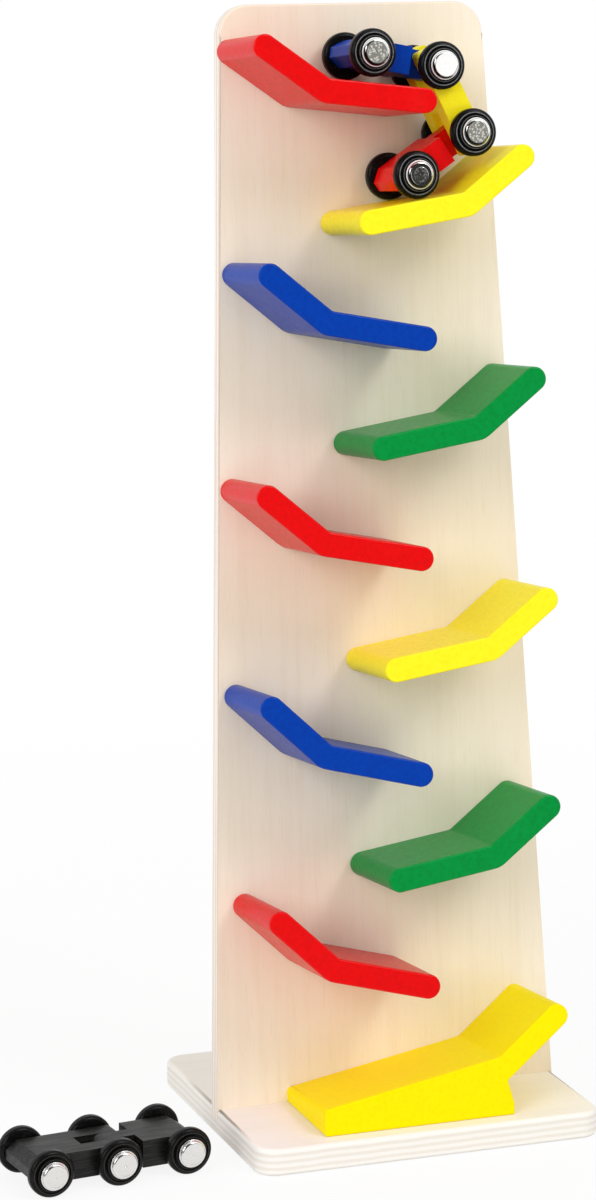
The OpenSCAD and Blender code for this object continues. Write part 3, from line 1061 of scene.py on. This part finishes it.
class TurnedTree(GeometryNet):
    """Turns a profile about an axle and sets it in its place."""

    def __init__(self) -> None:
        """Builds the tree."""
        super().__init__("turned part", {
            "Bore Radius": float, "Outer Radius": float, "Segments": int, "Turn": Vector, "Centre": Vector,
        })
        ring = self.add("GeometryNodeCurvePrimitiveCircle", {},
                        {"Resolution": self.given("Segments"), "Radius": self.given("Bore Radius")})
        profile = self.add("GeometryNodeMeshToCurve", {}, {"Mesh": self.given("Geometry")})
        body = self.add("GeometryNodeCurveToMesh", {}, {"Curve": ring, "Profile Curve": profile})
        position = self.add("GeometryNodeInputPosition")
        flat = self.add("ShaderNodeVectorMath", {"operation": "MULTIPLY"}, {0: position, 1: (1.0, 1.0, 0.0)})
        length = self.add("ShaderNodeVectorMath", {"operation": "LENGTH"}, {0: flat}, "Value")
        reach = length / self.given("Outer Radius")
        along = self.add("ShaderNodeSeparateXYZ", {}, {0: position}, 2)
        for name, value in (("reach", reach), ("along", along)):
            body = self.add("GeometryNodeStoreNamedAttribute", {"data_type": "FLOAT", "domain": "POINT"},
                            {"Geometry": body, "Name": name, "Value": value})
        self.close(self.add("GeometryNodeTransform", {}, {
            "Geometry": body, "Rotation": self.given("Turn"), "Translation": self.given("Centre"),
        }))


def corner_arc(centre: tuple[float, float], radius: float, start: float, end: float, steps: int) -> list[Vector]:
    """Points of a profile along an arc.

    Args:
        centre: The arc's centre, out from the axle and along it.
        radius: Its radius.
        start: First angle in degrees.
        end: Last angle in degrees.
        steps: Number of steps between them.

    Returns:
        The points.
    """
    angles = [math.radians(start + (end - start) * k / steps) for k in range(steps + 1)]
    return [Vector((centre[0] + radius * math.cos(a), centre[1] + radius * math.sin(a), 0)) for a in angles]


@dataclass(frozen=True)
class Wheel:
    """A turned wheel, as distances out from the axle and along it from the body's middle."""

    radius: float = 10.6 * MM
    bore: float = 1.55 * MM
    boss_radius: float = 4 * MM
    boss_at: float = 13.7 * MM
    rim_at: float = 14.6 * MM
    rim_end: float = 20 * MM
    rim_round: float = 1.9 * MM
    groove_depth: float = 0.7 * MM
    groove_width: float = 1.0 * MM
    hub_radius: float = 7.4 * MM
    hub_end: float = 21.2 * MM
    hub_ease: float = 0.35 * MM

    def profile(self) -> list[Vector]:
        """The closed outline of half a section."""
        inner = (self.radius - self.rim_round, self.rim_at + self.rim_round)
        outer = (self.radius - self.rim_round, self.rim_end - self.rim_round)
        groove_foot = self.rim_end - self.groove_depth
        groove_out = self.hub_radius + self.groove_width
        ease = self.hub_ease
        lip = (groove_out + ease / 2, self.rim_end - ease / 2)
        return [
            Vector((self.bore, self.boss_at, 0)),
            Vector((self.boss_radius, self.boss_at, 0)),
            Vector((self.boss_radius, self.rim_at, 0)),
            *corner_arc(inner, self.rim_round, -90, 0, 8),
            *corner_arc(outer, self.rim_round, 0, 90, 8),
            *corner_arc(lip, ease / 2, 90, 180, 3),
            Vector((groove_out, groove_foot, 0)),
            Vector((self.hub_radius, groove_foot, 0)),
            *corner_arc((self.hub_radius - ease, self.hub_end - ease), ease, 0, 90, 4),
            Vector((self.bore, self.hub_end, 0)),
        ]


@dataclass(frozen=True)
class Cap:
    """A push-on metal cap, as distances out from the axle and along it from the body's middle."""

    radius: float = 6.45 * MM
    rod: float = 1.51 * MM
    start: float = 21.5 * MM
    end: float = 23.5 * MM
    lip_width: float = 0.5 * MM
    lip: float = 0.6 * MM
    round: float = 1.2 * MM
    dish: float = 0.18 * MM
    dimple: float = 0.6 * MM
    dimple_depth: float = 0.25 * MM
    wall: float = 0.8 * MM

    def profile(self) -> list[Vector]:
        """The closed outline of half a section."""
        tiny = 0.02 * MM
        seat = self.end - self.wall
        edge = self.lip / 2
        foot = (self.radius - edge, self.start + edge)
        face = self.radius - self.lip_width
        floor = self.end - self.dish
        return [
            Vector((self.rod, self.start, 0)),
            *corner_arc(foot, edge, -90, 90, 8),
            Vector((face, self.start + self.lip, 0)),
            *corner_arc((face - self.round, self.end - self.round), self.round, 0, 90, 9),
            Vector((face - self.round - 2 * self.dish, floor, 0)),
            *corner_arc((self.dimple + self.dimple_depth, floor - self.dimple_depth),
                        self.dimple_depth, 90, 180, 4),
            Vector((tiny, floor - self.dimple_depth, 0)),
            Vector((tiny, seat, 0)),
            Vector((self.rod, seat, 0)),
        ]


class Flank(Enum):
    """The side of a train at which a wheel runs."""

    NEAR = "near"
    FAR = "far"


@dataclass(frozen=True)
class TrainBody:
    """One wooden body of a train."""

    node: str
    car: str
    slot: str
    ease: float = 0.35 * MM

    def build(self, finish: bpy.types.Material) -> bpy.types.Object:
        """Dresses the body as a copy of its solid with eased edges.

        Args:
            finish: Its paint or stain.

        Returns:
            The body.
        """
        piece = copy_of(self.node, f"finished_{self.node}")
        ease_edges(piece, self.ease, 25)
        smooth(piece)
        cover(piece, finish)
        return dress(piece, self.car, [self.node])


@dataclass
class Train:
    """A hinged train: its bodies, wheels, caps and axles."""

    name: str
    turn: Euler
    cars: tuple[str, ...]
    bodies: tuple[TrainBody, ...]
    wheel: Wheel = Wheel()
    cap: Cap = Cap()
    segments: int = 96

    def build(
        self, tree: "TurnedTree", paints: Iterable[bpy.types.Material], black: bpy.types.Material,
        bright: Iterable[bpy.types.Material], steel: bpy.types.Material,
    ) -> None:
        """Makes the bodies, and the wheels and caps on every axle.

        Args:
            tree: The tree that turns profiles.
            paints: The finish of each body.
            black: The wheels' finish.
            bright: The caps' finish on each axle.
            steel: The axles' finish.
        """
        for body, paint in zip(self.bodies, paints, strict=True):
            body.build(paint)
        for number, (car, metal) in enumerate(zip(self.cars, bright, strict=True), 1):
            axle = f"{self.name}_axle_{number}"
            centre = middle_of(axle)
            repaint(axle, steel)
            caps = []
            for flank in Flank:
                turn = self._turn(flank)
                node = f"{self.name}_wheel_{number}_{flank.value}"
                wheel = self._turned(tree, f"turned_{node}", self.wheel.profile(), self.wheel, black, turn, centre)
                smooth(wheel, 30)
                dress(wheel, node, [node])
                caps.append(self._turned(tree, f"{self.name}_cap_{number}_{flank.value}", self.cap.profile(),
                                         self.cap, metal, turn, centre))
            for cap in caps:
                smooth(cap, 40)
                dress(cap, car, [f"{self.name}_caps_{number}"])

    def _turn(self, flank: Flank) -> Euler:
        """The rotation that points a profile's axis at one flank."""
        quarter = math.pi / 2 if flank is Flank.NEAR else -math.pi / 2
        return Euler((self.turn.x + quarter, 0.0, self.turn.z))

    def _turned(
        self, tree: "TurnedTree", name: str, profile: list[Vector], sizes: Wheel | Cap,
        material: bpy.types.Material, turn: Euler, centre: Vector,
    ) -> bpy.types.Object:
        """Turns one profile.

        Args:
            tree: The tree that turns profiles.
            name: The piece's name.
            profile: The closed outline of half a section.
            sizes: The sizes that it follows.
            material: Its finish.
            turn: Rotation of its axis.
            centre: Middle of the body on the axle.

        Returns:
            The piece.
        """
        ring = 1.0 * MM
        seed = bpy.data.meshes.new(name)
        shifted = [Vector((point.x - ring, point.y, 0)) for point in profile]
        count = len(shifted)
        seed.from_pydata(shifted, [(k, (k + 1) % count) for k in range(count)], [])
        return tree.grow(name, material, seed, Bore_Radius=ring, Outer_Radius=sizes.radius,
                         Segments=self.segments, Turn=tuple(turn), Centre=tuple(centre))


def middle_of(node: str) -> Vector:
    """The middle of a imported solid's box.

    Args:
        node: The solid's node.

    Returns:
        The point.
    """
    low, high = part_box(node)
    return (low + high) / 2


# The studio


@dataclass(frozen=True)
class Lamp:
    """A square soft light: its place, the length of its side, and its power in watts."""

    name: str
    at: Vector
    size: float
    power: float


@dataclass
class Studio:
    """A white floor, soft light and the camera."""

    camera_at: Vector = Vector((-0.6066, -1.580, 0.5883))
    camera_pitch: float = 11.605
    camera_yaw: float = 19.746
    sensor: float = 24
    focal: float = 76.51
    floor_half: float = 60
    floor_white: float = 0.88
    floor_glow: float = 0.88
    shadow_reach: float = 0.3
    shadow_end: float = 0.9
    front_edge: float = 0.2
    front_end: float = 0.32
    ambient: float = 0.68
    dark_side: Vector = Vector((-0.6, -0.79, -0.1))
    darkness: float = 0.97
    aim: Vector = Vector((0, 0, 0.25))
    lamps: tuple[Lamp, ...] = (
        Lamp("key", Vector((2.5, -3.5, 4.5)), 2.2, 105),
        Lamp("fill", Vector((-3.4, -2.4, 2.2)), 2.4, 76),
    )

    def build(self) -> None:
        """Makes the studio."""
        self._camera()
        self._floor()
        self._world()
        for lamp in self.lamps:
            self._light(lamp)
        bpy.context.scene.view_settings.view_transform = "Standard"

    def _camera(self) -> None:
        """The camera, where the photograph was taken from."""
        data = bpy.data.cameras.new("camera")
        data.sensor_fit = "VERTICAL"
        data.sensor_height = self.sensor
        data.lens = self.focal
        camera = bpy.data.objects.new("camera", data)
        camera.location = self.camera_at
        camera.rotation_euler = Euler(
            (math.radians(90 - self.camera_pitch), 0.0, -math.radians(self.camera_yaw))
        )
        bpy.context.scene.collection.objects.link(camera)
        bpy.context.scene.camera = camera

    def _floor(self) -> None:
        """A floor that looks white and keeps the object's shadow."""
        half = self.floor_half
        mesh = bpy.data.meshes.new("floor")
        mesh.from_pydata([(-half, -half, 0), (half, -half, 0), (half, half, 0), (-half, half, 0)], [], [(0, 1, 2, 3)])
        floor = new_object("floor", mesh)
        net = ShaderNet("white floor")
        matt = net.add("ShaderNodeBsdfDiffuse", {}, {"Color": (self.floor_white,) * 3})
        glow = net.add("ShaderNodeEmission", {}, {"Color": (1.0, 1.0, 1.0), "Strength": 1.0})
        gloom = net.add("ShaderNodeBsdfDiffuse", {}, {"Color": (1 - self.darkness,) * 3})
        seen, glossy = self._seen(net)
        place = net.add("ShaderNodeTexCoord", output="Object")
        away = net.add("ShaderNodeVectorMath", {"operation": "LENGTH"}, {0: place}, "Value")
        share = away.ramp(self.shadow_reach, self.shadow_end, self.floor_glow, 1.0)
        white = net.add("ShaderNodeMixShader", {}, {0: seen * share, 1: matt, 2: glow})
        front = -net.add("ShaderNodeSeparateXYZ", {}, {0: place}, 1)
        far = glossy * front.ramp(self.front_edge, self.front_end)
        mixed = net.add("ShaderNodeMixShader", {}, {0: far, 1: white, 2: gloom})
        net.add("ShaderNodeOutputMaterial", {}, {"Surface": mixed})
        mesh.materials.append(net.material)

    def _world(self) -> None:
        """Even light from all round, seen as white apart from the dim room on the player's side."""
        world = bpy.data.worlds.new("studio")
        world.use_nodes = True
        net = Net(world.node_tree)
        net.tree.nodes.clear()
        seen, glossy = self._seen(net)
        direction = net.add("ShaderNodeTexCoord", output="Generated")
        facing = net.add("ShaderNodeVectorMath", {"operation": "DOT_PRODUCT"},
                         {0: direction, 1: self.dark_side.normalized()}, "Value")
        dim = glossy * facing.ramp(0.12, 0.34) * self.darkness
        strength = seen * (1 - self.ambient) + self.ambient - dim
        light = net.add("ShaderNodeBackground", {}, {"Color": (1.0, 1.0, 1.0), "Strength": strength})
        net.add("ShaderNodeOutputWorld", {}, {"Surface": light})
        world.cycles.sampling_method = "NONE"
        bpy.context.scene.world = world

    def _seen(self, net: Net) -> tuple[Signal, Signal]:
        """Tells rays that see the background from those that only light the object.

        Args:
            net: The tree that asks.

        Returns:
            A mask of the rays from the camera, a mirror or glass, and one of those from a mirror.
        """
        camera, glossy, through = (
            net.add("ShaderNodeLightPath", output=f"Is {kind} Ray") for kind in ("Camera", "Glossy", "Transmission")
        )
        return (camera + glossy + through).at_most(1.0), glossy

    def _light(self, lamp: Lamp) -> None:
        """Hangs a square soft light.

        Args:
            lamp: Its sizes.
        """
        data = bpy.data.lights.new(lamp.name, "AREA")
        data.size = lamp.size
        data.energy = lamp.power
        light = bpy.data.objects.new(lamp.name, data)
        light.location = lamp.at
        light.rotation_euler = (self.aim - lamp.at).to_track_quat("-Z", "Y").to_euler()
        bpy.context.scene.collection.objects.link(light)


def main() -> None:
    """Builds the toy and the studio in order."""
    logging.basicConfig(level=logging.INFO, format="%(name)s: %(message)s")
    panel = PanelFrame()
    paints = {
        "red": Paint("red paint", linear(227, 5, 8), linear(206, 1, 4), linear(238, 46, 38)),
        "yellow": Paint("yellow paint", linear(254, 238, 34), linear(250, 226, 12), linear(254, 245, 90),
                        coat=0.28),
        "bright yellow": Paint("bright yellow paint", linear(254, 232, 2), linear(250, 222, 0), linear(255, 238, 12),
                               coat=0.0),
        "blue": Paint("blue paint", linear(1, 60, 165), linear(1, 46, 143), linear(14, 90, 188), coat=0.24),
        "green": Paint("green paint", linear(2, 143, 60), linear(1, 122, 46), linear(26, 162, 84), coat=0.24),
    }
    finishes = {name: paint.material() for name, paint in paints.items()}
    wheel = Wheel()
    zinc = Metal("zinc plate", (0.62, 0.61, 0.56), (0.42, 0.41, 0.38), 0.34).material()
    steel = Metal("drawn steel", (0.6, 0.6, 0.6), (0.45, 0.45, 0.45), 0.28).material()
    # Places, half widths and weights of the grey rings painted on the wheels' outer faces as edge highlights; on the
    # plain black wheels they are almost black.
    rings = ((0.825, 0.032, 1.0), ((wheel.hub_radius - wheel.hub_ease / 2) / wheel.radius, 0.018, 0.6))
    black, plain_black = (
        WheelBlack(name, (0.004, 0.004, 0.0042), (0.2, 0.19, 0.17), rubbed, wheel.rim_end, rings).material()
        for name, rubbed in (("wheel black", (0.2, 0.205, 0.21)), ("plain wheel black", (0.035, 0.034, 0.03)))
    )
    # On these three cap finishes the lip is painted pale as a highlight ring, the lower-left rounding gets painted
    # shade, and the face's colour, with dark dents on the hammered and pitted caps, paints its reflection.
    hammered = Metal("hammered caps", (0.95, 0.95, 0.93), (0.18, 0.18, 0.15), 0.08, 0.85,
                     (0.82, 0.81, 0.75), 0.25, 0.74, satin=1.0, grime=0.95).material()
    pitted = Metal("pitted caps", (0.95, 0.95, 0.93), (0.06, 0.06, 0.055), 0.08, 0.95,
                   (0.34, 0.34, 0.32), 0.6, 0.52, satin=1.0, grime=0.95).material()
    bright = Metal("bright caps", (0.95, 0.95, 0.93), (0.8, 0.8, 0.79), 0.08, 0.0,
                   (0.97, 0.97, 0.96), 0.1, 0.8, satin=1.0, grime=0.95).material()
    polished = Metal("polished caps", (0.8, 0.79, 0.77), (0.6, 0.59, 0.57), 0.2).material()
    Tower(panel).build(finishes, zinc)
    LOG.info("tower built")

    turned = TurnedTree()
    colours = ("blue", "yellow", "red")
    coloured = Train(
        "coloured", panel.turn(), ("blue_car", "yellow_car", "yellow_car", "red_car"),
        tuple(TrainBody(f"{colour}_body", f"{colour}_car", f"{colour}_paint") for colour in colours),
    )
    coloured.build(turned, [finishes[colour] for colour in colours], black,
                   (hammered, bright, hammered, pitted), steel)
    way = middle_of("black_axle_3") - middle_of("black_axle_1")
    heading = math.atan2(way.y, way.x)
    stain = Stain(
        "black stain", (0.005, 0.0053, 0.0048), (0.024, 0.025, 0.022), Euler((0.0, 0.0, -heading))
    ).material()
    shunter = Train(
        "black", Euler((0.0, 0.0, heading)), ("black_rear_car", "black_rear_car", "black_front_car"),
        tuple(TrainBody(f"black_{end}_body", f"black_{end}_car", "black_stain") for end in ("rear", "front")),
    )
    shunter.build(turned, (stain, stain), plain_black, (polished,) * 3, steel)
    LOG.info("trains built")

    Studio().build()


if __name__ == "__main__":
    main()
